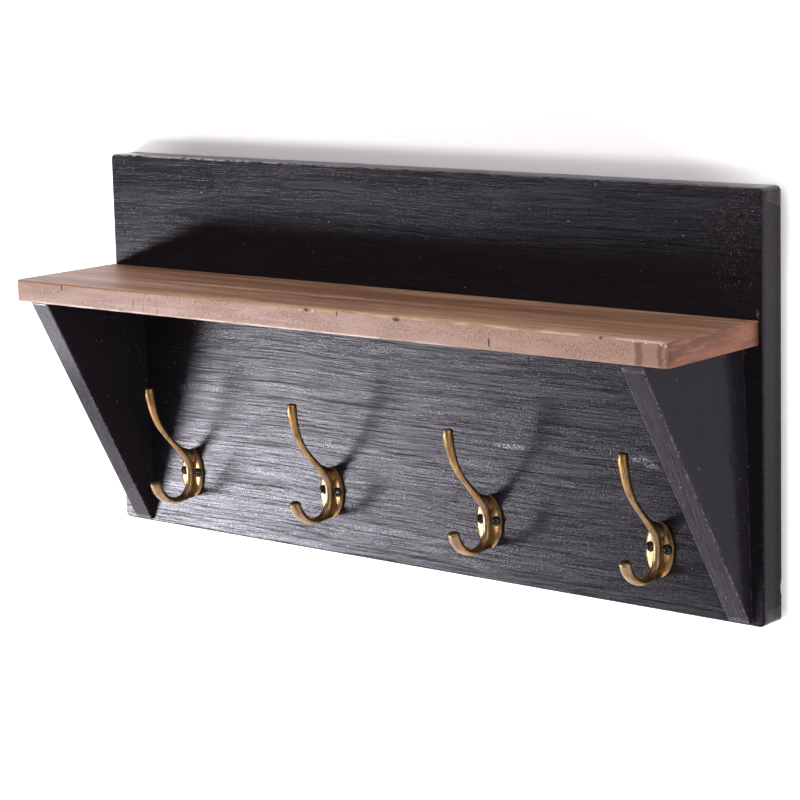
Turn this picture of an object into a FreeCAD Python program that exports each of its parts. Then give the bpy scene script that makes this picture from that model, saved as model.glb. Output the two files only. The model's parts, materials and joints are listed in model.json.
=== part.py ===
import FreeCAD, Part
import itertools
import math
import os

# Wall coat rack with a shelf, in millimetres, +Z up. The front faces -Y and X runs along the
# rack. The origin is the middle of the board's rear face, which lies against the wall.

Vector = FreeCAD.Vector

# Back board, sawn a little out of square by hand: the left end slants, which leaves the top
# edge shorter, and the top edge falls towards the right end
board_length = 613.0
board_height = 298.0
board_thickness = 22.0
board_end_slant = 2.4
board_top_fall = 1.3
board_corner_radius = 4.0
board_edge_easing = 1.6

# Shelf: it stands on the brackets, a little proud of the board at its left end
shelf_depth = 106.0
shelf_thickness = 17.0
shelf_underside_height = 192.3
shelf_left_overhang = 0.8
shelf_right_setback = 3.5
shelf_corner_radius = 5.5
shelf_edge_easing = 1.5

# Brackets: each stands a little out of square, as fitted by hand. The inset is from the
# board's end to the outer cheek at the top of the joint, the toe-in is how far the front
# corner moves towards the middle, and the foot shift is how far the foot moves along +X. The
# nose is the short upright end of the top, in front, and stands back from the shelf's front.
bracket_thickness = 17.0
bracket_setback_left = 0.8
bracket_setback_right = 3.0
bracket_nose_height_left = 0.6
bracket_nose_height_right = 4.0
bracket_foot_depth = 2.5
bracket_foot_height = 2.0
bracket_arris_easing = 0.8
bracket_inset_left = 12.3
bracket_inset_right = 15.8
bracket_toe_in_left = 4.0
bracket_toe_in_right = 9.0
bracket_foot_shift_left = 2.7
bracket_foot_shift_right = 6.2

# Row of hooks: places and tilts vary a little from hook to hook
hook_count = 4
hook_end_inset = 81.5
hook_row_height = 47.0
hook_side_offsets = (-1.3, -2.8, -0.5, -1.6)
hook_height_offsets = (0.2, 2.3, -1.1, -2.0)
hook_tilt_degrees = (-1.2, -2.3, 0.2, -1.4)

# Hook plate: an oval with a flat rim and a low dome
hook_plate_half_width = 11.5
hook_plate_half_height = 19.6
hook_plate_drop = 1.2
hook_plate_rim = 1.4
hook_plate_dome = 1.5
dome_turns_degrees = (0.0, 25.0, 50.0, 70.0)

# Hook bar: its centre line starts as a rib on the plate. Upwards it bends out, runs straight
# and sweeps up to the tip. Downwards it bends out and sweeps up to the lower tip. Headings are
# degrees from straight out of the wall.
rising_degrees = 90.0
falling_degrees = 270.0
level_degrees = 360.0
rib_standoff = 3.9
rib_top = 0.4
rib_bottom = -5.3
root_bend_radius = 20.0
upper_slope_degrees = 45.0
upper_run = 26.9
upper_sweep_radius = 58.0
lower_bend_radius = 14.8
lower_sweep_radius = 25.5
lower_sweep_degrees = 74.5
upper_tip_rounding = 1.1
lower_tip_rounding = 2.0
upper_bend_steps = 2
lower_bend_steps = 3
sweep_steps = 4

# Half-width (along X) and half-thickness of the bar at its named stations
rib_half = (3.1, 3.3)
root_half = (3.3, 3.0)
upper_neck_half = (2.6, 2.1)
upper_bulb_half = (3.6, 3.4)
upper_tip_half = (3.3, 3.2)
lower_neck_half = (3.3, 2.3)
lower_tip_half = (4.5, 4.2)
upper_thinning_share = 0.75
upper_swell_shares = (0.25, 0.6)
lower_thinning_share = 0.5
lower_swell_shares = (0.2, 0.55, 0.9)

# Flare that joins the upper prong to the plate's top
flare_half_width = 4.4
flare_half_height = 6.8
flare_height = 11.2
flare_mid_share = 0.42
flare_mid_slope_share = 0.62
flare_mid_half = (3.4, 3.3)
flare_overlap = 3.0

# Web between the bar and the plate: it runs down to the plate's foot, and out from there
# under the lower prong's root
web_half_width = 2.7
web_head = 11.0
web_foot_rise = 0.3
web_reach = 16.5
web_underside_drop = 1.7
web_underside_rounding = 2.2

# Round-head screws of the hooks
hook_screw_spacing = 14.4
hook_screw_shank_radius = 2.0
hook_screw_head_radius = 3.7
hook_screw_head_height = 2.9
hook_screw_length = 18.0
hook_screw_seat = 2.0
screw_turn_degrees = (0.0, 35.0, 62.0, 20.0, 75.0, 48.0, 10.0, 55.0)

# Countersunk screws through the board, for the shelf and the brackets
frame_screw_shank_radius = 2.1
frame_screw_head_radius = 4.2
frame_screw_head_height = 2.6
frame_screw_bite = 24.0
bracket_screw_bite = 18.0
frame_screw_sink = 0.6
shelf_screw_count = 3
shelf_screw_hanger_gap = 35.0
bracket_screw_height_shares = (0.30, 0.78)

# Dowels between the brackets and the shelf
dowel_radius = 4.0
dowel_depth_in_shelf = 11.0
dowel_depth_in_bracket = 13.0
dowel_setback_share = 0.55

# Keyhole hanger plates, let in flush with the wall face
hanger_spacing = 406.4
hanger_drop = 36.0
hanger_length = 50.0
hanger_width = 16.0
hanger_thickness = 1.5
keyhole_entry_radius = 4.75
keyhole_slot_width = 4.6
keyhole_travel = 10.0
keyhole_pocket_width = 12.5
keyhole_pocket_depth = 8.0
hanger_screw_inset = 6.5
hanger_screw_shank_radius = 1.5
hanger_screw_head_radius = 2.8
hanger_screw_head_height = 1.4
hanger_screw_length = 13.0
hanger_slot_rise = keyhole_travel / 2

# Shared fits
pilot_clearance = 0.15
hole_clearance = 0.3
hole_end_clearance = 1.0
overrun = 2.0
screw_tip_share = 1.6
recess_width_share = 0.28
recess_length_share = 1.15
recess_depth_share = 0.55
parallel_share = 0.001

# Places that follow from the sizes
left_x = -board_length / 2
right_x = board_length / 2
bottom_z = -board_height / 2
top_z = board_height / 2
front_y = -board_thickness
shelf_bottom_z = bottom_z + shelf_underside_height
shelf_top_z = shelf_bottom_z + shelf_thickness
shelf_left_x = left_x - shelf_left_overhang
shelf_right_x = right_x - shelf_right_setback
shelf_front_y = front_y - shelf_depth
bracket_foot_z = bottom_z + bracket_foot_height
bracket_tall = shelf_bottom_z - bracket_foot_z

INTO_WALL = Vector(0, 1, 0)
OUT_OF_WALL = Vector(0, -1, 0)
UP = Vector(0, 0, 1)
DOWN = Vector(0, 0, -1)
ALONG = Vector(1, 0, 0)


# Shared shapes

def slab(low, high):
    """A box between two opposite corners."""
    size = high - low
    return Part.makeBox(size.x, size.y, size.z, low)


def rod(radius, length, start, direction):
    return Part.makeCylinder(radius, length, start, direction)


def edges_along(shape, direction, keep):
    """Straight edges parallel to a direction whose middle passes the test."""
    found = []
    for edge in shape.Edges:
        ends = [vertex.Point for vertex in edge.Vertexes]
        if len(ends) != 2:
            continue
        run = ends[1] - ends[0]
        if run.Length == 0 or run.cross(direction).Length > run.Length * parallel_share:
            continue
        if keep((ends[0] + ends[1]) * 0.5):
            found.append(edge)
    return found


def revolve(wire):
    """A solid turned about Z from a closed wire in the XZ plane."""
    return Part.Face(wire).revolve(Vector(0, 0, 0), UP, 360)


def oval(centre, across, thick, half_width, half_thickness):
    """A closed oval wire with its two axes along two given directions."""
    normal = across.cross(thick)
    squash = half_thickness / half_width
    matrix = FreeCAD.Matrix(
        across.x, thick.x * squash, normal.x, centre.x,
        across.y, thick.y * squash, normal.y, centre.y,
        across.z, thick.z * squash, normal.z, centre.z,
        0, 0, 0, 1)
    return Part.Wire(Part.makeCircle(half_width).transformGeometry(matrix).Edges)


# Screws: each is made along Z, with its seat at the origin and its point downwards

def cross_recess(head_radius, head_height, top_z_of_head):
    width = head_radius * recess_width_share
    length = head_radius * recess_length_share
    depth = head_height * recess_depth_share
    low_z = top_z_of_head - depth
    high_z = top_z_of_head + overrun
    one = slab(Vector(-length / 2, -width / 2, low_z), Vector(length / 2, width / 2, high_z))
    other = slab(Vector(-width / 2, -length / 2, low_z), Vector(width / 2, length / 2, high_z))
    return one.fuse(other)


def round_head_screw(shank, head, height, length):
    tip = shank * screw_tip_share
    dome_mid = Vector(head * math.cos(math.radians(45)), 0, height * math.sin(math.radians(45)))
    dome = Part.Arc(Vector(head, 0, 0), dome_mid, Vector(0, 0, height)).toShape()
    corners = [Vector(0, 0, height), Vector(0, 0, -length), Vector(shank, 0, tip - length),
               Vector(shank, 0, 0), Vector(head, 0, 0)]
    sides = [Part.makeLine(a, b) for a, b in zip(corners, corners[1:])]
    screw = revolve(Part.Wire(sides + [dome]))
    return screw.cut(cross_recess(head, height, height))


def countersunk_screw(shank, head, height, length):
    tip = shank * screw_tip_share
    corners = [Vector(0, 0, 0), Vector(0, 0, -length), Vector(shank, 0, tip - length),
               Vector(shank, 0, -height), Vector(head, 0, 0), Vector(0, 0, 0)]
    screw = revolve(Part.makePolygon(corners))
    return screw.cut(cross_recess(head, height, 0))


def screw_hole(shank, length, clearance):
    """The round hole that a screw's shank takes, past its point."""
    return rod(shank + clearance, length + hole_end_clearance, Vector(0, 0, 0), DOWN)


def countersink(shank, head, height, clearance):
    """The cone that a countersunk head seats in, open above it."""
    cone = Part.makeCone(shank, head, height, Vector(0, 0, -height), UP)
    throat = rod(head, overrun, Vector(0, 0, 0), UP)
    return cone.fuse(throat).fuse(screw_hole(shank, height, clearance))


def placed(shape, place):
    moved = shape.copy()
    moved.Placement = place.multiply(moved.Placement)
    return moved


def pointing(position, direction):
    """The place of a screw made along Z, so that its point goes in the given direction."""
    return FreeCAD.Placement(position, FreeCAD.Rotation(DOWN, direction))


# Back board and shelf blanks

def board_blank():
    outline = [Vector(left_x, 0, bottom_z), Vector(left_x + board_end_slant, 0, top_z),
               Vector(right_x, 0, top_z - board_top_fall), Vector(right_x, 0, bottom_z)]
    face = Part.Face(Part.makePolygon(outline + outline[:1]))
    blank = face.extrude(OUT_OF_WALL * board_thickness)
    corners = edges_along(blank, INTO_WALL, lambda middle: True)
    blank = blank.makeFillet(board_corner_radius, corners)
    front_edges = [edge for edge in blank.Edges
                   if abs(edge.BoundBox.YMin - front_y) + abs(edge.BoundBox.YMax - front_y)
                   < board_thickness * parallel_share]
    return blank.makeFillet(board_edge_easing, front_edges)


def shelf_blank():
    blank = slab(Vector(shelf_left_x, shelf_front_y, shelf_bottom_z),
                 Vector(shelf_right_x, front_y, shelf_top_z))
    corners = edges_along(blank, UP, lambda middle: middle.y < shelf_front_y + shelf_depth / 2)
    blank = blank.makeFillet(shelf_corner_radius, corners)
    rim = [edge for edge in blank.Edges
           if edge.BoundBox.ZMax - edge.BoundBox.ZMin < shelf_thickness * parallel_share
           and edge.CenterOfMass.y < front_y - shelf_thickness * parallel_share]
    return blank.makeFillet(shelf_edge_easing, rim)


# Brackets

def bracket_stance(side):
    """The left-hand cheek's place, its toe-in and its foot shift, along +X."""
    if side == "left":
        return left_x + bracket_inset_left, bracket_toe_in_left, bracket_foot_shift_left
    cheek = right_x - bracket_inset_right - bracket_thickness
    return cheek, -bracket_toe_in_right, bracket_foot_shift_right


def bracket_top(side):
    """Depth of the bracket's top and height of its nose."""
    if side == "left":
        return shelf_depth - bracket_setback_left, bracket_nose_height_left
    return shelf_depth - bracket_setback_right, bracket_nose_height_right


def bracket_cheek_x(side, depth, z):
    """X of the bracket's left-hand cheek at a depth from the board and a height."""
    cheek, toe, foot_shift = bracket_stance(side)
    share_out = depth / bracket_top(side)[0]
    return cheek + toe * share_out + foot_shift * (shelf_bottom_z - z) / bracket_tall


def bracket_middle(side, depth, z):
    return Vector(bracket_cheek_x(side, depth, z) + bracket_thickness / 2, front_y - depth, z)


def bracket_blank(side):
    top_depth, nose_height = bracket_top(side)
    profile = [(0, bracket_foot_z), (0, shelf_bottom_z), (top_depth, shelf_bottom_z),
               (top_depth, shelf_bottom_z - nose_height), (bracket_foot_depth, bracket_foot_z)]
    cheek = [Vector(bracket_cheek_x(side, depth, z), front_y - depth, z) for depth, z in profile]
    blank = Part.Face(Part.makePolygon(cheek + cheek[:1])).extrude(ALONG * bracket_thickness)
    slope_middle_y = front_y - (top_depth + bracket_foot_depth) / 2
    sloping = [edge for edge in blank.Edges
               if abs(edge.CenterOfMass.y - slope_middle_y) < bracket_arris_easing
               and edge.Length > bracket_tall / 2]
    return blank.makeFillet(bracket_arris_easing, sloping)


def bracket_screw_z(share):
    return bracket_foot_z + bracket_tall * share


def dowel_position(side):
    depth = bracket_top(side)[0] * dowel_setback_share
    return bracket_middle(side, depth, shelf_bottom_z)


# Hook: made with its origin on the board's front face, midway between its screws. A point on
# its middle plane is given by how far it stands out and how high it is.

def out_up(out, up):
    return Vector(0, -out, up)


def along_arc(start, heading, radius, turn, steps):
    """Points and headings along an arc, after its start. Headings are degrees from outwards."""
    side = 1 if turn > 0 else -1
    first = math.radians(heading)
    stations = []
    for step in range(1, steps + 1):
        angle = math.radians(heading + turn * step / steps)
        out = start[0] + side * radius * (math.sin(angle) - math.sin(first))
        up = start[1] - side * radius * (math.cos(angle) - math.cos(first))
        stations.append(((out, up), math.degrees(angle)))
    return stations


def along_line(start, heading, length):
    angle = math.radians(heading)
    return (start[0] + length * math.cos(angle), start[1] + length * math.sin(angle))


def blend(first, second, share):
    return tuple(a + (b - a) * share for a, b in zip(first, second))


def bar_section(station, halves):
    """The bar's oval section at a station of its centre line."""
    (out, up), heading = station
    angle = math.radians(heading)
    thick = out_up(-math.sin(angle), math.cos(angle))
    return oval(out_up(out, up), ALONG, thick, halves[0], halves[1])


def upper_root():
    """Stations from the rib's top, round the bend to the start of the straight run."""
    start = (rib_standoff, rib_top)
    bend = along_arc(start, rising_degrees, root_bend_radius, -upper_slope_degrees, upper_bend_steps)
    return [(start, rising_degrees)] + bend


def upper_half_run():
    """The station halfway up the straight run, with its half-sizes."""
    point, slope = upper_root()[-1]
    halves = blend(root_half, upper_neck_half, upper_thinning_share)
    return (along_line(point, slope, upper_run / 2), slope), halves


def upper_stations():
    """Stations of the upper prong, from the rib's top to the tip, with their half-sizes."""
    root = upper_root()
    point, slope = root[-1]
    run_end = along_line(point, slope, upper_run)
    turn = rising_degrees - slope
    sweep = along_arc(run_end, slope, upper_sweep_radius, turn, sweep_steps)
    swell = [blend(upper_neck_half, upper_bulb_half, share) for share in upper_swell_shares]
    stations = list(zip(root, [rib_half, rib_half, root_half]))
    stations += [upper_half_run(), ((run_end, slope), upper_neck_half)]
    return stations + list(zip(sweep, swell + [upper_bulb_half, upper_tip_half]))


def lower_stations():
    """Stations of the lower prong, from the rib's bottom to the tip, with their half-sizes."""
    start = (rib_standoff, rib_bottom)
    turn = level_degrees - falling_degrees
    bend = along_arc(start, falling_degrees, lower_bend_radius, turn, lower_bend_steps)
    point, heading = bend[-1]
    sweep = along_arc(point, heading, lower_sweep_radius, lower_sweep_degrees, sweep_steps)
    thinning = blend(rib_half, lower_neck_half, lower_thinning_share)
    swell = [blend(lower_neck_half, lower_tip_half, share) for share in lower_swell_shares]
    stations = [((start, falling_degrees), rib_half)]
    stations += list(zip(bend, [thinning, lower_neck_half, lower_neck_half]))
    return stations + list(zip(sweep, swell + [lower_tip_half]))


def turned_back(station):
    point, heading = station
    return point, heading + 180


def hook_bar():
    """One loft from the upper tip, down the rib and out to the lower tip."""
    upper = [(turned_back(station), halves) for station, halves in reversed(upper_stations())]
    stations = upper + lower_stations()
    sections = [bar_section(station, halves) for station, halves in stations]
    bar = Part.makeLoft(sections, True, False)
    for end, rounding in ((stations[0], upper_tip_rounding), (stations[-1], lower_tip_rounding)):
        tip = out_up(*end[0][0])
        rim = [edge for edge in bar.Edges if (edge.CenterOfMass - tip).Length < rounding / 2]
        bar = bar.makeFillet(rounding, rim)
    return bar


def hook_web():
    """The flat-sided web behind the bar. Its front runs hidden along the bar's centre line."""
    foot = -hook_plate_drop - hook_plate_half_height + web_foot_rise
    hidden = [point for (point, heading), halves in lower_stations()
              if point[0] < web_reach]
    under = (web_reach, foot - web_underside_drop)
    back_to_plate = [under, (0, foot), (0, web_head)]
    outline = [out_up(*point) for point in [upper_root()[0][0]] + hidden + back_to_plate]
    side = Part.Face(Part.makePolygon(outline + outline[:1]))
    side.translate(ALONG * -web_half_width)
    web = side.extrude(ALONG * web_half_width * 2)
    lower_edges = [edge for edge in web.Edges
                   if edge.BoundBox.ZMax < foot + web_foot_rise
                   and edge.Length > web_reach / 2]
    return web.makeFillet(web_underside_rounding, lower_edges)


def hook_flare():
    """The cast web that spreads from the upper prong onto the plate."""
    (point, slope), halves = upper_half_run()
    base = (hook_plate_rim / 2, flare_height)
    foot = oval(out_up(*base), ALONG, UP, flare_half_width, flare_half_height)
    mid = blend(base, point, flare_mid_share)
    middle = bar_section((mid, slope * flare_mid_slope_share), flare_mid_half)
    inner = [half - pilot_clearance for half in halves]
    top = bar_section((along_line(point, slope, -flare_overlap), slope), inner)
    return Part.makeLoft([foot, middle, top], True, False)


def hook_plate():
    """The oval plate: a straight rim and a dome that ends under the rib."""
    centre = -hook_plate_drop
    outline = oval(out_up(0, centre), ALONG, UP, hook_plate_half_width, hook_plate_half_height)
    rim = Part.Face(outline).extrude(OUT_OF_WALL * hook_plate_rim)
    rings = []
    for turn in dome_turns_degrees:
        grow = math.cos(math.radians(turn))
        out = hook_plate_rim + hook_plate_dome * math.sin(math.radians(turn))
        rings.append(oval(out_up(out, centre), ALONG, UP,
                          hook_plate_half_width * grow, hook_plate_half_height * grow))
    return rim.fuse(Part.makeLoft(rings, True, False))


def hook_screw_seats():
    """Where the two screws seat on the hook: side name and place in the hook's own frame."""
    seats = []
    for side, sign in (("left", -1), ("right", 1)):
        position = Vector(sign * hook_screw_spacing / 2, -hook_screw_seat, 0)
        seats.append((side, pointing(position, INTO_WALL)))
    return seats


def hook():
    body = hook_plate().fuse(hook_flare()).fuse(hook_web()).fuse(hook_bar())
    body = body.cut(slab_behind_hook())
    for side, seat in hook_screw_seats():
        spot = rod(hook_screw_head_radius + pilot_clearance, rib_standoff, Vector(0, 0, 0), UP)
        hole = screw_hole(hook_screw_shank_radius, hook_screw_seat, hole_clearance)
        body = body.cut(placed(spot, seat)).cut(placed(hole, seat))
    return body.removeSplitter()


def slab_behind_hook():
    """What would lie inside the board, which the back of the casting is ground flat to."""
    reach = hook_plate_half_height * 2
    return slab(Vector(-reach, 0, -reach), Vector(reach, reach, reach))


def hook_screw():
    return round_head_screw(hook_screw_shank_radius, hook_screw_head_radius,
                            hook_screw_head_height, hook_screw_length)


def hook_places():
    """Name and place of each hook on the board's front face."""
    places = []
    pitch = (board_length - hook_end_inset * 2) / max(hook_count - 1, 1)
    for index in range(hook_count):
        x = (index - (hook_count - 1) / 2) * pitch
        x += hook_side_offsets[index % len(hook_side_offsets)]
        z = bottom_z + hook_row_height + hook_height_offsets[index % len(hook_height_offsets)]
        tilt = hook_tilt_degrees[index % len(hook_tilt_degrees)]
        turn = FreeCAD.Rotation(OUT_OF_WALL, tilt)
        places.append((f"hook_{index + 1}", FreeCAD.Placement(Vector(x, front_y, z), turn)))
    return places


# Screws through the board

def shelf_screw_places():
    places = []
    span = hanger_spacing - hanger_width - shelf_screw_hanger_gap * 2
    pitch = span / max(shelf_screw_count - 1, 1)
    for index in range(shelf_screw_count):
        x = (index - (shelf_screw_count - 1) / 2) * pitch
        position = Vector(x, -frame_screw_sink, shelf_bottom_z + shelf_thickness / 2)
        places.append((f"shelf_screw_{index + 1}", pointing(position, OUT_OF_WALL)))
    return places


def bracket_screw_places(side):
    places = []
    for name, share in zip(("lower", "upper"), bracket_screw_height_shares):
        z = bracket_screw_z(share)
        position = Vector(bracket_middle(side, 0, z).x, -frame_screw_sink, z)
        places.append((f"bracket_{side}_screw_{name}", pointing(position, OUT_OF_WALL)))
    return places


def frame_screw(bite):
    length = board_thickness - frame_screw_sink + bite
    return countersunk_screw(frame_screw_shank_radius, frame_screw_head_radius,
                             frame_screw_head_height, length)


def frame_screw_hole(bite):
    length = board_thickness - frame_screw_sink + bite
    return screw_hole(frame_screw_shank_radius, length, pilot_clearance)


def frame_screw_countersink():
    return countersink(frame_screw_shank_radius, frame_screw_head_radius,
                       frame_screw_head_height, pilot_clearance)


# Hangers: each is made with its origin at the top of its slot, on the wall face

def hanger_outline(grow, depth, start_y):
    """A plate with rounded ends, standing upright, grown all round by a clearance."""
    half = hanger_width / 2 + grow
    straight = hanger_length / 2 - hanger_width / 2
    middle = -hanger_slot_rise
    plate = slab(Vector(-half, start_y - depth, middle - straight),
                 Vector(half, start_y, middle + straight))
    for end in (middle - straight, middle + straight):
        plate = plate.fuse(rod(half, depth, Vector(0, start_y, end), OUT_OF_WALL))
    return plate.removeSplitter()


def keyhole(radius, slot_width, depth):
    """The entry hole, with the slot that rises from it to the origin."""
    entry = rod(radius, depth, Vector(0, overrun, -keyhole_travel), OUT_OF_WALL)
    slot = slab(Vector(-slot_width / 2, overrun - depth, -keyhole_travel),
                Vector(slot_width / 2, overrun, 0))
    top = rod(slot_width / 2, depth, Vector(0, overrun, 0), OUT_OF_WALL)
    return entry.fuse(slot).fuse(top)


def hanger_screw_seats():
    """The two screws of a hanger, in the hanger's own frame."""
    reach = hanger_length / 2 - hanger_screw_inset
    seats = []
    for name, z in (("lower", -hanger_slot_rise - reach), ("upper", -hanger_slot_rise + reach)):
        seats.append((name, pointing(Vector(0, 0, z), OUT_OF_WALL)))
    return seats


def hanger():
    plate = hanger_outline(0, hanger_thickness, 0)
    plate = plate.cut(keyhole(keyhole_entry_radius, keyhole_slot_width, hanger_thickness + overrun * 2))
    seat = countersink(hanger_screw_shank_radius, hanger_screw_head_radius,
                       hanger_screw_head_height, pilot_clearance)
    for name, place in hanger_screw_seats():
        plate = plate.cut(placed(seat, place))
    return plate


def hanger_screw():
    return countersunk_screw(hanger_screw_shank_radius, hanger_screw_head_radius,
                             hanger_screw_head_height, hanger_screw_length)


def hanger_recess():
    """What is routed out of the board for one hanger: its bed, the head's pocket and pilots."""
    recess = hanger_outline(pilot_clearance, hanger_thickness + overrun, overrun)
    half = keyhole_pocket_width / 2
    depth = hanger_thickness + keyhole_pocket_depth + overrun
    pocket = slab(Vector(-half, overrun - depth, -keyhole_travel), Vector(half, overrun, 0))
    for z in (-keyhole_travel, 0):
        pocket = pocket.fuse(rod(half, depth, Vector(0, overrun, z), OUT_OF_WALL))
    recess = recess.fuse(pocket)
    pilot = screw_hole(hanger_screw_shank_radius, hanger_screw_length, pilot_clearance)
    for name, place in hanger_screw_seats():
        recess = recess.fuse(placed(pilot, place))
    return recess


def hanger_places():
    places = []
    for side, sign in (("left", -1), ("right", 1)):
        position = Vector(sign * hanger_spacing / 2, 0, top_z - hanger_drop)
        places.append((f"hanger_{side}", FreeCAD.Placement(position, FreeCAD.Rotation())))
    return places


# Finished wooden pieces

def back_board():
    board = board_blank()
    bored = [placed(frame_screw_countersink().fuse(frame_screw_hole(0)), place)
             for name, place in shelf_screw_places()]
    for side in ("left", "right"):
        bored += [placed(frame_screw_countersink().fuse(frame_screw_hole(0)), place)
                  for name, place in bracket_screw_places(side)]
    bored += [placed(hanger_recess(), place) for name, place in hanger_places()]
    pilot = screw_hole(hook_screw_shank_radius, hook_screw_length, pilot_clearance)
    for name, place in hook_places():
        bored += [placed(pilot, place.multiply(seat)) for side, seat in hook_screw_seats()]
    for hole in bored:
        board = board.cut(hole)
    return board


def shelf():
    board = shelf_blank()
    for name, place in shelf_screw_places():
        board = board.cut(placed(frame_screw_hole(frame_screw_bite), place))
    for side in ("left", "right"):
        board = board.cut(dowel(side, pilot_clearance, hole_end_clearance))
    return board


def bracket(side):
    board = bracket_blank(side)
    for name, place in bracket_screw_places(side):
        board = board.cut(placed(frame_screw_hole(bracket_screw_bite), place))
    return board.cut(dowel(side, pilot_clearance, hole_end_clearance))


def dowel(side, grow, end_grow):
    """The dowel in a bracket's top, or with clearances the hole that it fits."""
    start = dowel_position(side) - UP * (dowel_depth_in_bracket + end_grow)
    length = dowel_depth_in_bracket + dowel_depth_in_shelf + end_grow * 2
    return rod(dowel_radius + grow, length, start, UP)


def all_pieces():
    """Every piece of the rack by its name."""
    pieces = {"back_board": back_board(), "shelf": shelf()}
    for side in ("left", "right"):
        pieces[f"bracket_{side}"] = bracket(side)
        pieces[f"dowel_{side}"] = dowel(side, 0, 0)
        for name, place in bracket_screw_places(side):
            pieces[name] = placed(frame_screw(bracket_screw_bite), place)
    for name, place in shelf_screw_places():
        pieces[name] = placed(frame_screw(frame_screw_bite), place)
    casting = hook()
    screw = hook_screw()
    turns = itertools.cycle(screw_turn_degrees)
    for name, place in hook_places():
        pieces[name] = placed(casting, place)
        for side, seat in hook_screw_seats():
            turned = FreeCAD.Placement(Vector(0, 0, 0), FreeCAD.Rotation(UP, next(turns)))
            pieces[f"{name}_screw_{side}"] = placed(screw, place.multiply(seat).multiply(turned))
    for name, place in hanger_places():
        pieces[name] = placed(hanger(), place)
        for end, seat in hanger_screw_seats():
            pieces[f"{name}_screw_{end}"] = placed(hanger_screw(), place.multiply(seat))
    return pieces


os.makedirs("parts", exist_ok=True)
for node, shape in all_pieces().items():
    shape.exportStep(f"parts/{node}.step")
    print(node, "valid" if shape.isValid() else "INVALID", "solids", len(shape.Solids),
          "volume", round(shape.Volume, 1))
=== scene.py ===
# %% [markdown]
# # A wall coat rack with a shelf
# The rack is a black-stained plank with a row of cast brass double hooks, and a natural wood
# shelf that stands on two tapered black brackets. The exact solids are already packed as a
# frame, so this lesson is about surfaces: how brushed black wood, oiled hardwood, antiqued
# brass and blackened screws are built from nodes and lit so that they read as themselves.

# %% Load the frame
import json
import math
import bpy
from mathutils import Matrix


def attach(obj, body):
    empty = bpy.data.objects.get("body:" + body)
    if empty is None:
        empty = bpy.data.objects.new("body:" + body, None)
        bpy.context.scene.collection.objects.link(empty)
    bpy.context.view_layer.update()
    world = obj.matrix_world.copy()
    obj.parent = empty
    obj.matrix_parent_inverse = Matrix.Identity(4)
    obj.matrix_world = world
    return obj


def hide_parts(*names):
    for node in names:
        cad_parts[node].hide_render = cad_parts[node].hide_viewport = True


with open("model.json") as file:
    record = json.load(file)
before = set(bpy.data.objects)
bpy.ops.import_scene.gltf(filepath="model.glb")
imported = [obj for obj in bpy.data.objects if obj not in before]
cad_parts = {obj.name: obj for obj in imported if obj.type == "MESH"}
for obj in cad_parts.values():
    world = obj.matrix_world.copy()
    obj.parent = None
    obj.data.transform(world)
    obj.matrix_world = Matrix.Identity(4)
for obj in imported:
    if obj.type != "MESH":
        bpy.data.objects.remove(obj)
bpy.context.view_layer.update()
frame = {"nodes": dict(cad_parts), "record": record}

from types import SimpleNamespace

import bmesh
import bpy
from mathutils import Matrix, Vector
from mathutils.noise import noise as noise_value, turbulence

nodes = frame["nodes"]


# %% [markdown]
# ## Camera
# The rack is seen from its right, a little above. A long lens keeps the plank's ends nearly
# parallel. The camera stands at a fixed place in front of the plank's middle and is turned by
# two angles. A small roll finishes it, because a hand-held camera is seldom quite level.

# %% Place the camera
camera_place = Vector((1.2099, -1.4629, 0.3249))
camera_turn, camera_rise, camera_roll = (math.radians(a) for a in (40.21, 10.449, -1.657))
back = Vector((math.sin(camera_turn) * math.cos(camera_rise),
               -math.cos(camera_turn) * math.cos(camera_rise), math.sin(camera_rise)))
right = Vector((math.cos(camera_turn), math.sin(camera_turn), 0))
up = back.cross(right)
rolled_right = right * math.cos(camera_roll) + up * math.sin(camera_roll)
rolled_up = up * math.cos(camera_roll) - right * math.sin(camera_roll)
lens = bpy.data.cameras.new("camera")
lens.lens, lens.sensor_width = 116.6, 36.0
camera = bpy.data.objects.new("camera", lens)
camera.matrix_world = Matrix.Translation(camera_place) @ Matrix(
    (rolled_right, rolled_up, back)).transposed().to_4x4()
bpy.context.scene.collection.objects.link(camera)
bpy.context.scene.camera = camera
print("camera", round(camera_place.length, 3), "m from the plank's middle")

# %% [markdown]
# ## Node helpers
# Every finish below is a small graph of shader nodes. A few helpers make each graph read like
# a recipe: `node` adds a node and fills its inputs, `put` either sets a value or joins a wire,
# and `grained`, `ramp`, `maths`, `times` and `mixed` are the steps that come back in each one.
# Colours are linear red, green and blue. Lengths are metres, and `mm` is one millimetre.

# %% Node helpers
mm = 0.001


def put(socket, value):
    """Gives an input its value, or wires another node's output to it."""
    if isinstance(value, bpy.types.NodeSocket):
        socket.id_data.links.new(value, socket)
    else:
        socket.default_value = value


def node(tree, kind, inputs=None, **settings):
    made = tree.nodes.new("ShaderNode" + kind)
    for name, value in settings.items():
        setattr(made, name, value)
    for key, value in (inputs or {}).items():
        put(made.inputs[key], value)
    return made


def maths(tree, operation, first, second=0.0, clamp=False):
    made = node(tree, "Math", {0: first, 1: second}, operation=operation, use_clamp=clamp)
    return made.outputs[0]


def times(tree, first, second):
    return maths(tree, "MULTIPLY", first, second)


def axes(tree, vector):
    """The X, Y and Z of a vector."""
    return node(tree, "SeparateXYZ", {0: vector}).outputs


def length(tree, vector):
    return node(tree, "VectorMath", {0: vector}, operation="LENGTH").outputs["Value"]


def stretched(tree, place, scale, shift=(0, 0, 0), turn=(0, 0, 0)):
    inputs = {"Vector": place, "Scale": scale, "Location": shift, "Rotation": turn}
    return node(tree, "Mapping", inputs).outputs[0]


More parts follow.
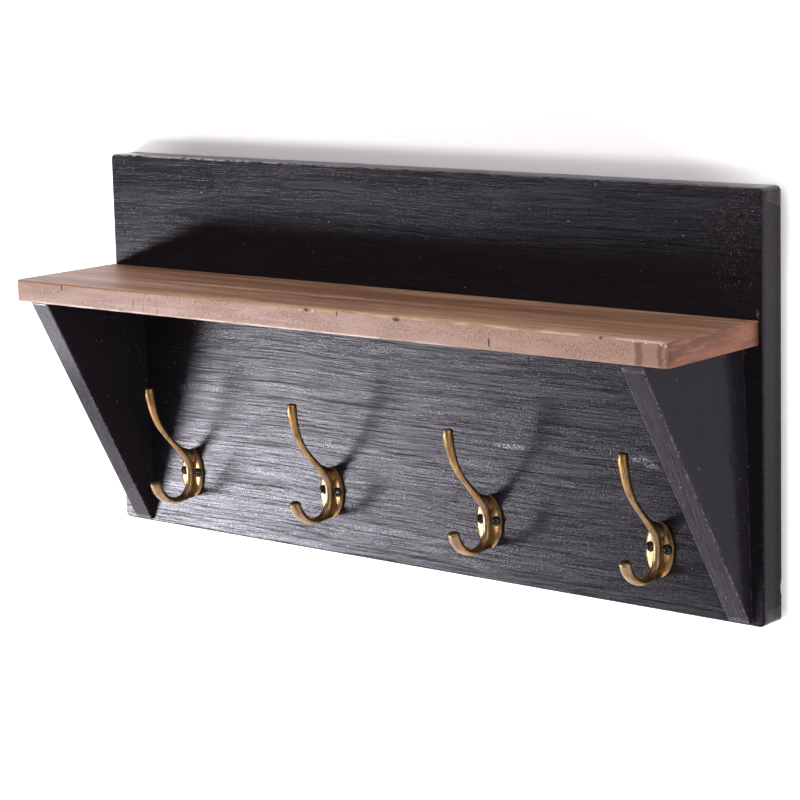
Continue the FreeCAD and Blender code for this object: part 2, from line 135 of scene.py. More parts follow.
def noise(tree, place, scale, detail, roughness=0.5):
    inputs = {"Vector": place, "Scale": scale, "Detail": detail, "Roughness": roughness}
    return node(tree, "TexNoise", inputs).outputs["Fac"]


def grained(tree, place, scale, detail=3.0, roughness=0.6, shift=(0, 0, 0), turn=(0, 0, 0)):
    """Noise in streaks: they are longest along the axis that has the smallest scale."""
    return noise(tree, stretched(tree, place, scale, shift, turn), 1.0, detail, roughness)


def ramp(tree, value, low, high, start=0.0, end=1.0):
    """Spreads the stretch low..high of a value smoothly over start..end."""
    inputs = {"Value": value, "From Min": low, "From Max": high, "To Min": start, "To Max": end}
    return node(tree, "MapRange", inputs, interpolation_type="SMOOTHSTEP").outputs[0]


def mixed(tree, share, first, second):
    made = node(tree, "Mix", data_type="RGBA")
    for index, value in ((0, share), (6, first), (7, second)):
        if isinstance(value, tuple):
            value = (*value, 1.0)
        put(made.inputs[index], value)
    return made.outputs[2]


def bumped(tree, height, distance, strength=1.0, under=None):
    inputs = {"Height": height, "Distance": distance, "Strength": strength}
    if under:
        inputs["Normal"] = under
    return node(tree, "Bump", inputs).outputs[0]


def new_finish(name):
    """A new material, with its shader and the object coordinates that the recipes start from."""
    material = bpy.data.materials.new(name)
    material.use_nodes = True
    tree = material.node_tree
    place = node(tree, "TexCoord").outputs["Object"]
    x, y, z = axes(tree, place)
    return SimpleNamespace(material=material, tree=tree, shader=tree.nodes["Principled BSDF"],
                           place=place, x=x, y=y, z=z)


def dressed(paint):
    """Gives a finish its colour, once all the layers are in place."""
    put(paint.shader.inputs["Base Color"], paint.colour)
    return paint.material

# %% [markdown]
# ## Brushed black wood
# The plank and the brackets are softwood that was brushed with wire, so that the soft early
# wood sank and the hard grain stands up, then stained black and rubbed with a satin oil. Seen
# against the light the ridges shine lavender grey and the hollows stay black. A flat black with
# one noise would look like plastic. Three things make the grain: growth lines, which are the
# level lines of a height bent by a slow noise, fine fibres, and grit. They drive the relief,
# the roughness and the shine together.

# %% Grain
def grain_field(tree, place, wander, bend_size, seed):
    """Coordinates whose grain lines run along X and wander gently up and down by a length."""
    slow = stretched(tree, place, (1.0, 1.0, 1.0), shift=(seed, 0, 0))
    coarse = {"Vector": slow, "Scale": bend_size, "Detail": 1.5}
    bend = axes(tree, node(tree, "TexNoise", coarse).outputs["Color"])[2]
    lift = times(tree, maths(tree, "SUBTRACT", bend, 0.5), wander)
    offset = node(tree, "CombineXYZ", {2: lift}).outputs[0]
    return node(tree, "VectorMath", {0: slow, 1: offset}, operation="ADD").outputs[0]


def growth_lines(tree, flow, pitch, low, high):
    """Thin lines about a pitch apart, which fade in and out along the grain."""
    turns = times(tree, axes(tree, flow)[2], 2 * math.pi / pitch)
    unrest = times(tree, grained(tree, flow, (4, 20, 40)), 20.0)
    wave = maths(tree, "SINE", maths(tree, "ADD", turns, unrest))
    breaks = grained(tree, flow, (13, 90, 300), shift=(4, 0, 0))
    return times(tree, ramp(tree, wave, low, high), ramp(tree, breaks, 0.42, 0.60))


def in_front(tree, y):
    """1 on the rack's front faces, 0 behind them."""
    return ramp(tree, y, -14 * mm, -18 * mm)


def near_spot(paint, spot):
    """1 in the middle of an oval on a front face, 0 outside it. The spot is in millimetres."""
    tree = paint.tree
    x, z, half_x, half_z = (value * mm for value in spot)
    mapped = stretched(tree, paint.place, (1 / half_x, 0, 1 / half_z),
                       shift=(-x / half_x, 0, -z / half_z))
    return times(tree, ramp(tree, length(tree, mapped), 1.0, 0.45), in_front(tree, paint.y))


def near_plane(paint, point, normal, width):
    """1 on a plane through a point, falling to 0 at a distance from it."""
    tree, across = paint.tree, Vector(normal).normalized()
    inputs = {0: paint.place, 1: tuple(across)}
    height = node(tree, "VectorMath", inputs, operation="DOT_PRODUCT").outputs["Value"]
    height = maths(tree, "SUBTRACT", height, across.dot(Vector(point)))
    return ramp(tree, maths(tree, "ABSOLUTE", height), width, width * 0.4)

print("grain helpers ready")

# %% Black finish
satin_tint = (0.88, 0.86, 1.0, 1.0)
stain_brown, dust_grey = (0.055, 0.030, 0.020), (0.35, 0.34, 0.36)
relief_depth = 0.5 * mm


def black_wood(name, along, seed, shades, strength):
    """Black-stained brushed wood. `along` turns the grain's X to the piece's own direction."""
    paint = new_finish(name)
    tree, place, shader = paint.tree, paint.place, paint.shader
    turned = stretched(tree, place, (1, 1, 1), turn=along)
    flow = grain_field(tree, turned, wander=17 * mm, bend_size=3.5, seed=seed)
    fibres = grained(tree, flow, (24, 700, 1150), 4.0, 0.72)
    grit = grained(tree, turned, (800, 900, 1000), 2.0)
    lines = growth_lines(tree, flow, pitch=3.7 * mm, low=0.91, high=1.0)
    patches = grained(tree, place, (4, 4, 7), 3.0, 0.55, shift=(seed, 2, 1))
    streaks = grained(tree, flow, (7, 60, 130))
    hollows = maths(tree, "MAXIMUM", lines, times(tree, ramp(tree, fibres, 0.40, 0.28), 0.7))
    black = mixed(tree, hollows, *shades)
    brown = times(tree, ramp(tree, patches, 0.56, 0.75), ramp(tree, fibres, 0.5, 0.7))
    colour = mixed(tree, times(tree, brown, 0.35), black, stain_brown)
    specks = noise(tree, stretched(tree, place, (1, 1, 1), shift=(0, seed, 0)), 420.0, 0.0)
    dust = ramp(tree, specks, 0.845, 0.86)
    colour = mixed(tree, times(tree, dust, 0.5), colour, dust_grey)
    relief = maths(tree, "ADD", times(tree, fibres, 0.55), times(tree, grit, 0.6))
    relief = maths(tree, "SUBTRACT", relief, times(tree, lines, 0.18))
    shine = maths(tree, "ADD", ramp(tree, fibres, 0.36, 0.60, 0.19, 0.67),
                  ramp(tree, grit, 0.40, 0.62, -0.14, 0.22))
    shine = maths(tree, "SUBTRACT", shine, times(tree, lines, 0.38), clamp=True)
    dullness = maths(tree, "ADD", ramp(tree, streaks, 0.6, 0.35, 0.0, 0.09),
                     times(tree, hollows, 0.22))
    dullness = maths(tree, "ADD", ramp(tree, patches, 0.3, 0.7, 0.175, 0.21), dullness)
    shader.inputs["IOR"].default_value = 1.29
    shader.inputs["Specular Tint"].default_value = satin_tint
    put(shader.inputs["Specular IOR Level"], shine)
    put(shader.inputs["Roughness"], dullness)
    put(shader.inputs["Normal"], bumped(tree, relief, relief_depth, strength))
    paint.colour, paint.grit, paint.shine = colour, grit, shine
    return paint


def speckled(paint, masks, low, high, strength):
    """Breaks up some masks with the grit."""
    specks = ramp(paint.tree, paint.grit, low, high, 0.0, strength)
    return [times(paint.tree, mask, specks) for mask in masks]


def add_wear(paint, shares, tint):
    """Lays a worn tint over a black finish wherever one of the shares is high."""
    total = shares[0]
    for share in shares[1:]:
        total = maths(paint.tree, "MAXIMUM", total, share)
    paint.colour = mixed(paint.tree, total, paint.colour, tint)


def calm(paint, mask, level, strength):
    """Evens out the shine of a black finish where a mask is 1, and sets its relief anew."""
    even = node(paint.tree, "Mix", {0: mask, 2: paint.shine, 3: level}).outputs[0]
    put(paint.shader.inputs["Specular IOR Level"], even)
    put(paint.tree.nodes["Bump"].inputs["Strength"], strength)

print("black finish ready")

# %% [markdown]
# Hand-made things wear where hands and coats touch them. The plank gets a rubbed, broken pale
# line on its top front arris near the left end, rubbed and scuffed patches beside the hooks, a
# brownish bare patch near its top right corner, two drops of old glue, a thin grey-brown line
# where each bracket meets it, and a duller sawn end, painted darker low and paler high as painted
# light.

# %% Plank wear
plank_front, plank_end, plank_top = -22 * mm, 306.5 * mm, 149 * mm
arris_height, arris_width, side_width, joint_width = 148 * mm, 0.87 * mm, 1.0 * mm, 1.1 * mm
# Each spot is x, z, half its width and half its height, in millimetres.
rubbed_spots = [(192, -42, 38, 7.5), (150, -43, 46, 2.2), (-235, -35, 7, 5), (106, -18, 6, 3)]
scuffs = [(208, -44.5, 11, 2.6), (217, -47.5, 9, 2.2), (95, -47, 20, 2.8)]
bare_spots = [(290, 120, 44, 32), (286, 94, 24, 30), (302, 146, 22, 7)]
glue_spots = [(302.0, 64, 1.8, 4.4), (291.5, 40, 2.4, 3.6)]
left_joint = ((-276 * mm, plank_front, 44 * mm), (1, 0, 0.014))
right_joint = ((290.4 * mm, plank_front, 44 * mm), (1, 0, 0.033))
plank_shades = ((0.0115, 0.0095, 0.0125), (0.004, 0.003, 0.004))
rubbed_tint, scuffed_tint, bare_tint = (0.26, 0.25, 0.28), (0.40, 0.37, 0.40), (0.21, 0.160, 0.115)
glue_tint, arris_tint, side_tint = (0.36, 0.15, 0.05), (0.44, 0.41, 0.41), (0.20, 0.165, 0.155)
left_joint_tint, right_joint_tint = (0.075, 0.065, 0.07), (0.13, 0.100, 0.092)
end_shaded_tint, end_lit_tint = (0.012, 0.0105, 0.0125), (0.030, 0.0275, 0.031)
plank_relief = 0.45


def plank_finish():
    paint = black_wood("black_plank", along=(0, 0, 0), seed=0.0, shades=plank_shades,
                       strength=plank_relief)
    tree, place, x, y, z = paint.tree, paint.place, paint.x, paint.y, paint.z
    rubbed, scuffed, bare, glue = ([near_spot(paint, spot) for spot in spots]
                                   for spots in (rubbed_spots, scuffs, bare_spots, glue_spots))
    bare.append(times(tree, ramp(tree, z, 141 * mm, 147 * mm), ramp(tree, x, 0.17, 0.27)))
    add_wear(paint, speckled(paint, rubbed, 0.56, 0.66, 0.7), rubbed_tint)
    add_wear(paint, speckled(paint, scuffed, 0.46, 0.60, 0.8), scuffed_tint)
    add_wear(paint, speckled(paint, bare, 0.62, 0.71, 0.7), bare_tint)
    add_wear(paint, speckled(paint, glue, 0.50, 0.60, 0.85), glue_tint)

    broken = ramp(tree, grained(tree, place, (150, 800, 800), 4.0, 0.7), 0.43, 0.53)
    arris = near_plane(paint, (0, plank_front, arris_height), (0.0021, -1, 1), arris_width)
    arris = times(tree, times(tree, arris, broken), ramp(tree, x, 0.05, -0.24, 0.15, 0.9))
    add_wear(paint, [arris], arris_tint)

    below = times(tree, ramp(tree, z, 46 * mm, 44 * mm), in_front(tree, y))
    left, right = (times(tree, near_plane(paint, *joint, joint_width), below)
                   for joint in (left_joint, right_joint))
    uneven = ramp(tree, grained(tree, place, (1, 1, 260), 3.0, 0.65), 0.42, 0.60, 0.10, 0.55)
    add_wear(paint, [times(tree, left, 0.3)], left_joint_tint)
    add_wear(paint, [times(tree, right, uneven)], right_joint_tint)

    side = near_plane(paint, (plank_end, plank_front, 0), (1, -1, 0), side_width)
    chips = grained(tree, place, (1, 1, 320), 3.0, 0.65, shift=(0, 0, 5))
    add_wear(paint, [times(tree, side, ramp(tree, chips, 0.45, 0.62, 0.0, 0.6))], side_tint)

    near_end = ramp(tree, x, 305.2 * mm, 306.0 * mm)
    far_end = ramp(tree, x, -304.6 * mm, -305.4 * mm)
    # Painted shade and light on the near end: its colour is darker at the foot and paler at the
    # top.
    end_painted_light = mixed(tree, ramp(tree, z, -0.10, 0.13), end_shaded_tint, end_lit_tint)
    add_wear(paint, [times(tree, near_end, 0.85)], end_painted_light)
    ends = maths(tree, "MAXIMUM", near_end, far_end)
    relief = maths(tree, "SUBTRACT", plank_relief, times(tree, ends, 0.38))
    calm(paint, ends, level=ramp(tree, far_end, 0.0, 1.0, 0.30, 0.08), strength=relief)
    return dressed(paint)


black_plank = plank_finish()
print("black plank finish", len(black_plank.node_tree.nodes), "nodes")

# %% [markdown]
# The brackets are cut with the grain running up their slope, so the same recipe is turned for
# them. Their long arrises are rubbed pale in a broken line. An arris is where two faces meet, so
# its mask is the product of the masks of the two planes, which are read from the solid itself.
# The sloped faces get a painted sheen: a greyish colour that stands in for the lamp's reflection,
# made stronger or weaker by height with a list of steps.

# %% Bracket finish
bracket_shades = ((0.0165, 0.0143, 0.0185), (0.0150, 0.0128, 0.0168))
bracket_arris_tint, slope_sheen_tint = (0.30, 0.28, 0.29), (0.30, 0.29, 0.315)
slope_direction = (0, -0.88, -0.48)
up_the_slope = (math.radians(-28.4), math.radians(90), 0)


def widest_plane(mesh, direction):
    """The middle and normal of the largest face that looks along a direction."""
    facing = [face for face in mesh.polygons if face.normal.dot(Vector(direction)) > 0.9]
    widest = max(facing, key=lambda face: face.area)
    return widest.center.copy(), widest.normal.copy()


def bracket_finish(name, sheen_level, sheen_steps):
    paint = black_wood("black_" + name, along=up_the_slope, seed=3.0, shades=bracket_shades,
                       strength=0.20)
    tree = paint.tree
    mesh = nodes[name].data
    slope = widest_plane(mesh, slope_direction)
    cheeks = [widest_plane(mesh, (side, 0, 0)) for side in (-1, 1)]
    on_cheek = maths(tree, "MAXIMUM", *(near_plane(paint, *cheek, 1.2 * mm) for cheek in cheeks))
    broken = ramp(tree, grained(tree, paint.place, (700, 500, 500), 3.0, 0.65), 0.46, 0.60)
    arris = times(tree, times(tree, near_plane(paint, *slope, 1.2 * mm), on_cheek), broken)
    add_wear(paint, [times(tree, arris, 0.5)], bracket_arris_tint)

    # Painted sheen: a greyish tint on the slope stands in for the lamp's reflection, shaped by
    # height.
    on_slope = near_plane(paint, *slope, 2.0 * mm)
    painted_sheen = ramp(tree, paint.grit, 0.35, 0.65, 0.6 * sheen_level, sheen_level)
    share = times(tree, on_slope, painted_sheen)
    for low, high, before, after in sheen_steps:
        share = times(tree, share, ramp(tree, paint.z, low * mm, high * mm, before, after))
    add_wear(paint, [share], slope_sheen_tint)
    off_slope = maths(tree, "SUBTRACT", 1.0, on_slope)
    calm(paint, off_slope, level=0.25, strength=times(tree, on_slope, 0.2))
    return dressed(paint)


# Each step of the painted sheen is its two heights in millimetres, and the factors below and above
# them.
left_sheen_steps = [(-35, 15, 0.03, 1.0), (-128, -112, 6.0, 1.0)]
right_sheen_steps = [(37.5, 38.5, 0.01, 0.6), (-105, -60, 6.0, 1.0)]
black_brackets = {
    "bracket_left": bracket_finish("bracket_left", sheen_level=0.45, sheen_steps=left_sheen_steps),
    "bracket_right": bracket_finish("bracket_right", sheen_level=0.40, sheen_steps=right_sheen_steps)}
print("bracket finishes", [finish.name for finish in black_brackets.values()])

# %% [markdown]
# ## Oiled shelf board
# The shelf is a plain hardwood board with an oil finish: a warm mid brown on top, with darker
# streaks that run its whole length. The streaks are stretched noise again, but much longer than
# on the plank. The same recipe in paler colours gives the hidden dowels their finish.

# %% Oiled wood
pore_brown = (0.05, 0.025, 0.016)


def oiled_wood(name, seed, dark, middle, light):
    paint = new_finish(name)
    tree, shader = paint.tree, paint.shader
    flow = grain_field(tree, paint.place, wander=20 * mm, bend_size=3.0, seed=seed)
    streaks = grained(tree, flow, (1.6, 46, 60), 4.0)
    fibres = grained(tree, flow, (12, 420, 420), 4.0, 0.7)
    pits = ramp(tree, grained(tree, flow, (60, 900, 900), 1.0, 0.5), 0.70, 0.76)
    colour = mixed(tree, ramp(tree, streaks, 0.35, 0.6), dark, middle)
    colour = mixed(tree, ramp(tree, streaks, 0.55, 0.75), colour, light)
    colour = mixed(tree, times(tree, ramp(tree, fibres, 0.60, 0.42), 0.45), colour, dark)
    paint.colour = mixed(tree, times(tree, pits, 0.6), colour, pore_brown)
    put(shader.inputs["Roughness"], ramp(tree, fibres, 0.3, 0.7, 0.42, 0.6))
    relief = maths(tree, "SUBTRACT", fibres, times(tree, pits, 0.8))
    put(shader.inputs["Normal"], bumped(tree, relief, 0.4 * mm, 0.5))
    return paint


dowel_wood = dressed(oiled_wood("dowel_beech", seed=5.0, dark=(0.48, 0.33, 0.19),
                                middle=(0.60, 0.44, 0.27), light=(0.68, 0.52, 0.34)))
print("dowel finish", len(dowel_wood.node_tree.nodes), "nodes")

# %% [markdown]
# The front edge of the shelf is what makes it look like a real board. Planed across the rings,
# it is paler and pinker than the top, freckled with pores and marked by a few small knots. A
# golden line of oil stays on its top arris. The sawn end is redder, brown above and orange below,
# with a soft curved border. Each of these is laid over the top's colour by a mask in space.

# %% Front edge and sawn end
shelf_foot, shelf_front, shelf_end = 43.3 * mm, -128 * mm, 303 * mm
shelf_height, shelf_depth = 17 * mm, 106 * mm
# Where dark bands cross the front edge: their middle, half width and strength.
bands = [(280.5 * mm, 4.4 * mm, 0.85), (289 * mm, 12 * mm, 0.30), (296.6 * mm, 3.0 * mm, 0.85),
         (301.8 * mm, 1.8 * mm, 0.70)]
front_pale, front_pink = (0.412, 0.274, 0.236), (0.340, 0.206, 0.159)
front_left, front_right = (0.24, 0.150, 0.125), (0.325, 0.187, 0.130)
freckle_brown, ray_brown = (0.17, 0.088, 0.056), (0.20, 0.115, 0.095)
band_brown, ring_brown = (0.125, 0.055, 0.031), (0.27, 0.14, 0.085)
end_orange, end_brown = (0.255, 0.105, 0.060), (0.142, 0.056, 0.036)
end_rear_highlight = (0.305, 0.122, 0.068)
end_ring_dark, end_ring_pale = (0.115, 0.060, 0.030), (0.36, 0.165, 0.095)


def band(tree, x, middle, half, share):
    """A share that fades out on both sides of a place along the shelf."""
    away = maths(tree, "ABSOLUTE", maths(tree, "SUBTRACT", x, middle))
    return ramp(tree, away, half, half * 0.3, 0.0, share)


def front_edge_colour(paint):
    tree, place, x = paint.tree, paint.place, paint.x
    clouds = grained(tree, place, (16, 1, 70))
    colour = mixed(tree, ramp(tree, clouds, 0.38, 0.66), front_pale, front_pink)
    colour = mixed(tree, ramp(tree, x, -0.12, -0.27, 0.0, 0.45), colour, front_left)
    colour = mixed(tree, ramp(tree, x, -0.10, 0.26, 0.0, 0.62), colour, front_right)

    freckles = grained(tree, place, (900, 1, 640), 2.0, turn=(0, 0.5, 0))
    dotted = times(tree, ramp(tree, freckles, 0.47, 0.64),
                   ramp(tree, clouds, 0.36, 0.60, 0.25, 0.9))
    dotted = times(tree, dotted, ramp(tree, x, 277 * mm, 272 * mm, 0.15, 1.0))
    colour = mixed(tree, dotted, colour, freckle_brown)
    rays = grained(tree, place, (420, 1, 90), 3.0, 0.65, turn=(0, 0.15, 0))
    rays = times(tree, ramp(tree, rays, 0.56, 0.68), band(tree, x, -175 * mm, 75 * mm, 0.7))
    colour = mixed(tree, rays, colour, ray_brown)

    sway = maths(tree, "SUBTRACT", grained(tree, place, (60, 1, 190)), 0.5)
    swayed = maths(tree, "ADD", x, times(tree, sway, 5 * mm))
    for middle, half, share in bands:
        colour = mixed(tree, band(tree, swayed, middle, half, share), colour, band_brown)
    # The rings of a cut-off knot stand around a point near the left end.
    around = stretched(tree, place, (52, 1, 90), shift=(52 * 0.312, 0, -90 * 0.047))
    ring = maths(tree, "SINE", times(tree, length(tree, around), 14.0))
    ring = times(tree, ramp(tree, ring, 0.3, 1.0), ramp(tree, x, -0.278, -0.292, 0.0, 0.40))
    return mixed(tree, ring, colour, ring_brown)


def sawn_end_colour(paint):
    tree, place = paint.tree, paint.place
    height = times(tree, maths(tree, "SUBTRACT", paint.z, shelf_foot), 1 / shelf_height)
    depth = times(tree, maths(tree, "SUBTRACT", paint.y, shelf_front), 1 / shelf_depth)
    cloud = maths(tree, "SUBTRACT", grained(tree, place, (1, 28, 60)), 0.5)
    level = maths(tree, "SUBTRACT", height, times(tree, depth, 0.9))
    level = maths(tree, "ADD", level, times(tree, cloud, 1.1))
    colour = mixed(tree, ramp(tree, level, 0.0, 0.5), end_orange, end_brown)
    # Painted highlight: the sawn end is paler towards its rear.
    colour = mixed(tree, ramp(tree, depth, 0.55, 0.95, 0.0, 0.7), colour, end_rear_highlight)
    rings = grained(tree, place, (1, 30, 190), 4.0, 0.65, turn=(0.32, 0, 0))
    colour = mixed(tree, ramp(tree, rings, 0.50, 0.62, 0.0, 0.6), colour, end_ring_dark)
    return mixed(tree, ramp(tree, rings, 0.46, 0.36, 0.0, 0.5), colour, end_ring_pale)

print("front edge with", len(bands), "dark bands")

# %% Shelf finish
# Each knot and nick is x, z, half its width and half its height, in millimetres.
knots = [(-254, 57.5, 1.2, 3.2), (-2.6, 58.9, 3.2, 1.6), (26, 58.6, 1.1, 2.4), (80, 58.2, 4.2, 1.9),
         (160, 49.0, 1.3, 4.4), (251, 59.6, 2.0, 1.5), (-190, 44.8, 4.0, 1.0)]
nicks = [(297.6, 58.6, 1.1, 1.0), (300.6, 57.8, 1.0, 1.2), (276, 59.0, 0.9, 0.8),
         (286, 58.8, 1.0, 0.7), (3.4, 58.8, 1.6, 0.8), (-8.6, 58.4, 1.4, 0.7)]
dark_figure, pale_figure = (0.17, 0.082, 0.050), (0.50, 0.315, 0.215)
stain_tint, crease_brown = (0.19, 0.088, 0.055), (0.10, 0.05, 0.028)
rear_black = (0.02, 0.014, 0.012)
left_gold, right_gold = (0.30, 0.145, 0.070), (0.47, 0.285, 0.155)
knot_brown, nick_white = (0.030, 0.014, 0.010), (0.80, 0.74, 0.70)
# The foot and arris tints are painted highlights along the front edge's arrises.
foot_highlight_tint, arris_highlight_tint = (0.72, 0.60, 0.55), (0.66, 0.50, 0.41)
face_width = 2.0 * mm


def shelf_finish():
    paint = oiled_wood("oiled_shelf", seed=1.7, dark=(0.150, 0.070, 0.036),
                       middle=(0.335, 0.186, 0.112), light=(0.45, 0.272, 0.176))
    tree, place, colour = paint.tree, paint.place, paint.colour
    x, y, z = paint.x, paint.y, paint.z
    paint.shader.inputs["Specular IOR Level"].default_value = 0.25

    # The top: stained ends and a figure of long streaks.
    stains = ramp(tree, grained(tree, place, (9, 70, 70), shift=(3, 0, 0)), 0.36, 0.62, 0.25, 0.9)
    ends = maths(tree, "MAXIMUM", ramp(tree, x, -0.20, -0.27, 0.0, 0.75),
                 ramp(tree, x, 0.20, 0.28, 0.0, 0.5))
    colour = mixed(tree, times(tree, ends, stains), colour, stain_tint)
    figure = grained(tree, place, (7, 170, 170), 5.0, 0.7, turn=(0, 0, 0.012))
    colour = mixed(tree, ramp(tree, figure, 0.52, 0.64, 0.0, 0.6), colour, dark_figure)
    colour = mixed(tree, ramp(tree, figure, 0.46, 0.36, 0.0, 0.5), colour, pale_figure)

    # The rounded lip in front: a dark crease behind it and the golden line of oil on it.
    mottle = grained(tree, place, (45, 300, 300))
    uneven = times(tree, maths(tree, "SUBTRACT", mottle, 0.5), 9 * mm)
    lip_depth = maths(tree, "ADD", y, uneven)
    lip_height = maths(tree, "ADD", z, times(tree, uneven, 0.5))
    lip = times(tree, ramp(tree, lip_depth, -120.4 * mm, -121.8 * mm),
                ramp(tree, lip_height, 58.4 * mm, 59.4 * mm))
    crease = band(tree, lip_depth, -119.6 * mm, 2.2 * mm, 0.7)
    crease = times(tree, crease, ramp(tree, mottle, 0.38, 0.55))
    colour = mixed(tree, crease, colour, crease_brown)
    gold = mixed(tree, ramp(tree, x, -0.22, 0.02), left_gold, right_gold)
    lip_share = times(tree, ramp(tree, mottle, 0.35, 0.58, 0.30, 0.85),
                      ramp(tree, x, 0.19, 0.12, 0.25, 1.0))
    colour = mixed(tree, times(tree, lip, lip_share), colour, gold)

    # The front edge, the black that the plank's stain left on the rear, and the sawn end.
    on_front = near_plane(paint, (0, shelf_front, 0), (0, -1, 0), face_width)
    below_lip = times(tree, on_front, ramp(tree, lip_height, 59.4 * mm, 58.4 * mm))
    colour = mixed(tree, below_lip, colour, front_edge_colour(paint))
    smudge = maths(tree, "ADD", y, times(tree, uneven, 0.35))
    smudge = times(tree, ramp(tree, smudge, -24.2 * mm, -23.0 * mm), 0.85)
    colour = mixed(tree, smudge, colour, rear_black)
    on_end = near_plane(paint, (shelf_end, 0, 0), (1, 0, 0), face_width)
    colour = mixed(tree, on_end, colour, sawn_end_colour(paint))

    # Knots and nicks, then painted highlights: pale lines along the foot and the top of the front
    # edge.
    for spots, tint, share in ((knots, knot_brown, 0.95), (nicks, nick_white, 0.6)):
        for spot in spots:
            mask = times(tree, near_spot(paint, spot), on_front)
            colour = mixed(tree, times(tree, mask, share), colour, tint)
    painted_foot_highlight = times(tree, ramp(tree, z, 45.4 * mm, 44.0 * mm),
                      ramp(tree, mottle, 0.40, 0.56, 0.15, 0.85))
    painted_foot_highlight = times(tree, painted_foot_highlight, ramp(tree, x, 0.16, 0.05, 0.12, 1.0))
    colour = mixed(tree, times(tree, painted_foot_highlight, on_front), colour, foot_highlight_tint)
    painted_arris_highlight = times(tree, ramp(tree, z, 58.9 * mm, 59.5 * mm),
                       ramp(tree, y, -126.2 * mm, -127.2 * mm))
    painted_arris_highlight = times(tree, painted_arris_highlight, ramp(tree, x, -0.06, 0.22, 0.1, 0.65))
    painted_arris_highlight = times(tree, painted_arris_highlight, ramp(tree, mottle, 0.42, 0.55, 0.2, 1.0))
    paint.colour = mixed(tree, painted_arris_highlight, colour, arris_highlight_tint)
    return dressed(paint)


shelf_wood = shelf_finish()
print("shelf finish", len(shelf_wood.node_tree.nodes), "nodes")

# %% [markdown]
# ## Antiqued brass
# The hooks are cast brass, dipped to a brown patina and rubbed back, so that the rounded
# flanks are gold and the creases stay brown. Metal takes its colour from what it reflects:
# the base colour is a warm gold, mixed with a darker brown by a cloudy noise. The oval plates
# are polished, the rib over them is paler and duller, and fine pits in the relief keep the
# reflections from being those of a mirror.

# %% Brass finish
brass_gold, brass_brown = (0.325, 0.196, 0.076), (0.17, 0.096, 0.038)
ember_orange, groove_brown = (0.35, 0.168, 0.048), (0.085, 0.048, 0.026)
rib_tint, plate_tint = (0.26, 0.185, 0.115), (0.44, 0.290, 0.140)
plate_face, rib_middle = -26 * mm, -102 * mm


def antique_brass():
    paint = new_finish("antique_brass")
    tree, place, shader = paint.tree, paint.place, paint.shader
    clouds = noise(tree, place, 90.0, 4.0, 0.6)
    grit = noise(tree, place, 1400.0, 2.0, 0.6)
    colour = mixed(tree, ramp(tree, clouds, 0.42, 0.68), brass_gold, brass_brown)
    on_plate = ramp(tree, paint.y, plate_face, plate_face + 1 * mm)
    from_middle = maths(tree, "ABSOLUTE", maths(tree, "SUBTRACT", paint.z, rib_middle))
    on_rib = times(tree, maths(tree, "SUBTRACT", 1.0, on_plate),
                   ramp(tree, from_middle, 22 * mm, 14 * mm))
    embers = grained(tree, place, (160, 70, 70), 2.0, shift=(2, 0, 0))
    colour = mixed(tree, ramp(tree, embers, 0.50, 0.64, 0.0, 0.65), colour, ember_orange)
    colour = mixed(tree, times(tree, on_rib, 0.6), colour, rib_tint)
    colour = mixed(tree, times(tree, on_plate, 0.5), colour, plate_tint)
    grooves = grained(tree, place, (900, 60, 60), 2.0)
    paint.colour = mixed(tree, ramp(tree, grooves, 0.58, 0.66, 0.0, 0.7), colour, groove_brown)
    shader.inputs["Metallic"].default_value = 1.0
    shader.inputs["Coat Weight"].default_value = 0.2
    shader.inputs["Coat Roughness"].default_value = 0.30
    dull = ramp(tree, clouds, 0.35, 0.7, 0.38, 0.52)
    put(shader.inputs["Roughness"], maths(tree, "SUBTRACT", dull, times(tree, on_plate, 0.08)))
    dents = bumped(tree, clouds, 1.0 * mm, 0.3)
    put(shader.inputs["Normal"], bumped(tree, grit, 0.2 * mm, 0.35, dents))
    return dressed(paint)


brass = antique_brass()
print("brass finish", len(brass.node_tree.nodes), "nodes")

# %% [markdown]
# ## Small metal
# The hook screws are blackened steel, worn a little browner in scuffs where the driver has
# rubbed them. The screws and hanger plates at the back are plain zinc.

# %% Small finishes
def plain_metal(name, colour, worn, roughness, metallic):
    paint = new_finish(name)
    tree, shader = paint.tree, paint.shader
    scuffed = noise(tree, paint.place, 900.0, 3.0, 0.6)
    paint.colour = mixed(tree, ramp(tree, scuffed, 0.55, 0.75), colour, worn)
    shader.inputs["Metallic"].default_value = metallic
    uneven = ramp(tree, scuffed, 0.3, 0.7, roughness - 0.06, roughness + 0.08)
    put(shader.inputs["Roughness"], uneven)
    put(shader.inputs["Normal"], bumped(tree, scuffed, 0.2 * mm, 0.3))
    return dressed(paint)


black_steel = plain_metal("black_steel", colour=(0.022, 0.021, 0.025), worn=(0.12, 0.10, 0.085),
                          roughness=0.30, metallic=0.6)
zinc = plain_metal("zinc", colour=(0.55, 0.56, 0.56), worn=(0.40, 0.41, 0.42),
                   roughness=0.36, metallic=1.0)
print("small finishes", black_steel.name, zinc.name)

# %% [markdown]
# ## Dress the frame's pieces
# A piece of the frame whose shape is right keeps its mesh and only gets its finish. The frame's
# record names the material slot of each piece, so a short table of slots is enough.

# %% Give each node its finish
finish_by_slot = {"black_board": black_plank, "shelf_wood": shelf_wood, "antique_brass": brass,
                  "black_screw": black_steel, "zinc_screw": zinc, "zinc_plate": zinc,
                  "dowel_wood": dowel_wood}
for part in frame["record"]["subparts"]:
    mesh = nodes[part["node"]].data
    finish = finish_by_slot[part["material_slot"]]
    finish = black_brackets.get(part["node"], finish)
    mesh.materials.clear()
    mesh.materials.append(finish)

